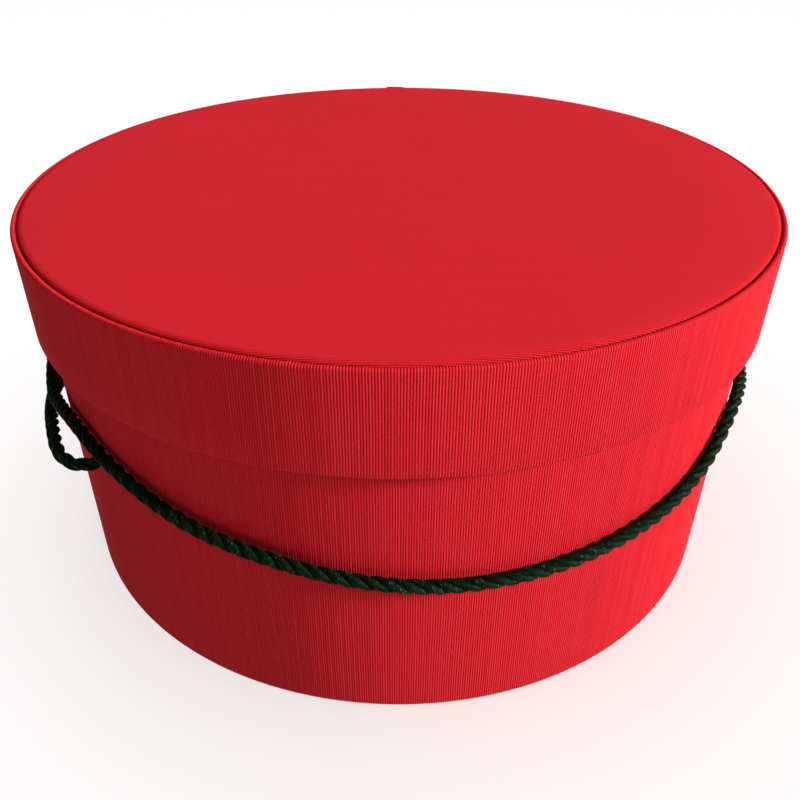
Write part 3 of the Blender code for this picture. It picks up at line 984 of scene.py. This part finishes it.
def smooth_curve(points, per_span):
    """Points along a natural cubic spline, a few to each span between the given points."""
    points = np.array(points)
    spans = np.linalg.norm(np.diff(points, axis=0), axis=1)
    knots = np.concatenate([[0.0], np.cumsum(spans)])
    count = len(points)
    matrix = np.eye(count)
    target = np.zeros((count, 3))
    for i in range(1, count - 1):
        before, after = spans[i - 1], spans[i]
        matrix[i, i - 1 : i + 2] = (before, 2 * (before + after), after)
        slope_after = (points[i + 1] - points[i]) / after
        slope_before = (points[i] - points[i - 1]) / before
        target[i] = 6 * (slope_after - slope_before)
    bends = np.linalg.solve(matrix, target)
    steps = (count - 1) * per_span
    where = np.interp(np.arange(steps + 1) / per_span, np.arange(count), knots)
    k = np.minimum(np.arange(steps + 1) // per_span, count - 2)
    span = spans[k][:, None]
    a = (knots[k + 1][:, None] - where[:, None]) / span
    b = 1.0 - a
    curved = (a**3 - a) * bends[k] + (b**3 - b) * bends[k + 1]
    return a * points[k] + b * points[k + 1] + curved * span**2 / 6


def even_steps(points, step):
    """The same line with its points evenly apart, and the distance along it to each of them."""
    spans = np.linalg.norm(np.diff(points, axis=0), axis=1)
    place = np.concatenate([[0.0], np.cumsum(spans)])
    wanted = np.linspace(0.0, place[-1], round(place[-1] / step) + 1)
    line = np.stack([np.interp(wanted, place, points[:, i]) for i in range(3)], axis=1)
    return line, wanted


def carried_sides(line):
    """Two side directions, square to a line and carried along it without twist."""
    tangent = np.gradient(line, axis=0)
    tangent /= np.linalg.norm(tangent, axis=1)[:, None]
    side = np.zeros_like(line)
    side[0] = np.cross(tangent[0], (0.0, 0.0, 1.0))
    for i in range(1, len(line)):
        side[i] = side[i - 1]
        side[i] -= np.dot(side[i], tangent[i]) * tangent[i]
        side[i] /= np.linalg.norm(side[i])
    side[0] /= np.linalg.norm(side[0])
    return side, np.cross(tangent, side)


def strand_rope(name, points, material):
    """A rope of three strands of plied yarn along a line.

    Returns the piece, its centre line and its length.
    """
    line, distance = even_steps(points, CORD_STEP)
    side, over = carried_sides(line)
    rings = len(line)
    sides = YARNS * YARN_SIDES
    around = math.tau * np.arange(sides) / sides
    vertices = []
    weave = []
    faces = []
    for strand in range(3):
        turn = math.tau * distance / CORD_LAY + math.tau * strand / 3
        radial = np.cos(turn)[:, None] * side + np.sin(turn)[:, None] * over
        centre = line + STRAND_ORBIT * radial
        heading = np.gradient(centre, axis=0)
        heading /= np.linalg.norm(heading, axis=1)[:, None]
        out = radial - np.sum(radial * heading, axis=1)[:, None] * heading
        out /= np.linalg.norm(out, axis=1)[:, None]
        third = np.cross(heading, out)
        twist = -distance[:, None] * YARNS / YARN_LAY
        count = around * YARNS / math.tau + twist
        height = rib_height(np.mod(count, 1.0))
        radius = STRAND_RADIUS + YARN_DEPTH * (height - 1.0)
        spoke = np.cos(around)[:, None] * out[:, None] + np.sin(around)[:, None] * third[:, None]
        ring = centre[:, None] + radius[..., None] * spoke
        first = len(vertices) * rings * sides
        vertices.append(ring.reshape(-1, 3))
        number = np.mod(np.floor(count), YARNS) + 0.5 + YARNS * strand
        # Each yarn's height is the mask from which the cord's material paints shade between the
        # yarns.
        weave.append(
            np.stack([number, distance[:, None] + 0 * count, height], axis=-1).reshape(-1, 3)
        )
        corner = np.arange(rings - 1)[:, None] * sides + np.arange(sides)
        beside = np.arange(rings - 1)[:, None] * sides + (np.arange(sides) + 1) % sides
        quads = np.stack([corner, beside, beside + sides, corner + sides], axis=-1) + first
        faces += quads.reshape(-1, 4).tolist()
        faces.append([first + j for j in range(sides)][::-1])
        faces.append([first + (rings - 1) * sides + j for j in range(sides)])
    rope = make_piece(
        name, np.concatenate(vertices), faces, material, np.concatenate(weave), sharp=80.0
    )
    return rope, line, distance[-1]


def make_knot(side, azimuth, material, wrap):
    """A stopper knot and its tail inside a hole, with the whipping on its end."""
    inwards = -on_circle(azimuth, 1.0, 0.0)
    sideways = Vector((-inwards.y, inwards.x, 0.0))
    start = on_circle(azimuth, BASE_RADIUS - WALL - LINING, HOLE_HEIGHT)
    points = []
    for depth, along, up in KNOT_PATH:
        points.append(start + (depth * inwards + along * sideways) / 1000 + Vector((0, 0, up / 1000)))
    knot, line, _ = strand_rope("knot_" + side, smooth_curve(points, 8), material)
    finish_piece(knot, "base", "twisted_cord", "handle_knot_" + side, "cord_tail_" + side)
    turn = WHIPPING_LENGTH / WHIPPING_TURNS
    core = WHIPPING_OUTER - TAPE
    outline = [(WHIPPING_INNER, WHIPPING_LENGTH), (WHIPPING_INNER, 0.0)]
    for k in range(WHIPPING_TURNS):
        outline += arc((core, (k + 0.5) * turn), turn / 2, -80.0, 80.0, 3)
    sleeve = turned("whipping_" + side, outline, wrap, 48)
    sleeve.location = Vector(line[-1])
    finish_piece(sleeve, "base", "end_tape", "cord_end_tape_" + side)
    return knot, sleeve


def make_handle(material, wrap):
    """The cord handle across the front, with its knots inside the box."""
    route = [
        on_circle(azimuth, radius / 1000, height / 1000) for azimuth, radius, height in CORD_ROUTE
    ]
    cord, line, length = strand_rope("handle_rope", smooth_curve(route, 6), material)
    finish_piece(cord, "base", "twisted_cord", "handle_cord")
    fittings = []
    for side, azimuth in (("left", HOLE_AZIMUTH), ("right", HOLE_AZIMUTH + 180.0)):
        fittings += make_knot(side, azimuth, material, wrap)


# ---------------------------------------------------------------- the scene

add_camera()
make_handle(cord_material(), whipping_material())
add_lights(add_floor(floor_material()))

cloth = cloth_material()
make_lid_cover(cloth)
make_base_cover(cloth)
make_panel_cover(cloth)

lining = paper_material(
    "lining_paper", (0.72, 0.66, 0.55, 1.0), (0.84, 0.80, 0.71, 1.0), 0.66
)
underside = paper_material(
    "underside_paper", (0.66, 0.61, 0.52, 1.0), (0.78, 0.74, 0.65, 1.0), 0.64
)
kraft = paper_material("kraft_tape", (0.42, 0.29, 0.16, 1.0), (0.54, 0.40, 0.25, 1.0), 0.62)
make_hoop_paper("base_lining_hoop", "base_side_lining", "base", LINING, lining)
make_hoop_paper("lid_lining_hoop", "lid_side_lining", "lid", LINING, lining)
make_disc_paper("base_lining_disc", "base_floor_lining", "base", "lining_paper", lining)
make_disc_paper("lid_lining_disc", "lid_top_lining", "lid", "lining_paper", lining)
make_disc_paper("underside_disc", "base_underside_paper", "base", "underside_paper", underside)
make_tape("base_tape_strip", "base_joint_tape", "base", TAPE, kraft)
make_tape("lid_tape_strip", "lid_joint_tape", "lid", TAPE, kraft)
pasteboard = board_material()
make_panel_board(pasteboard)
dress_boards(pasteboard)
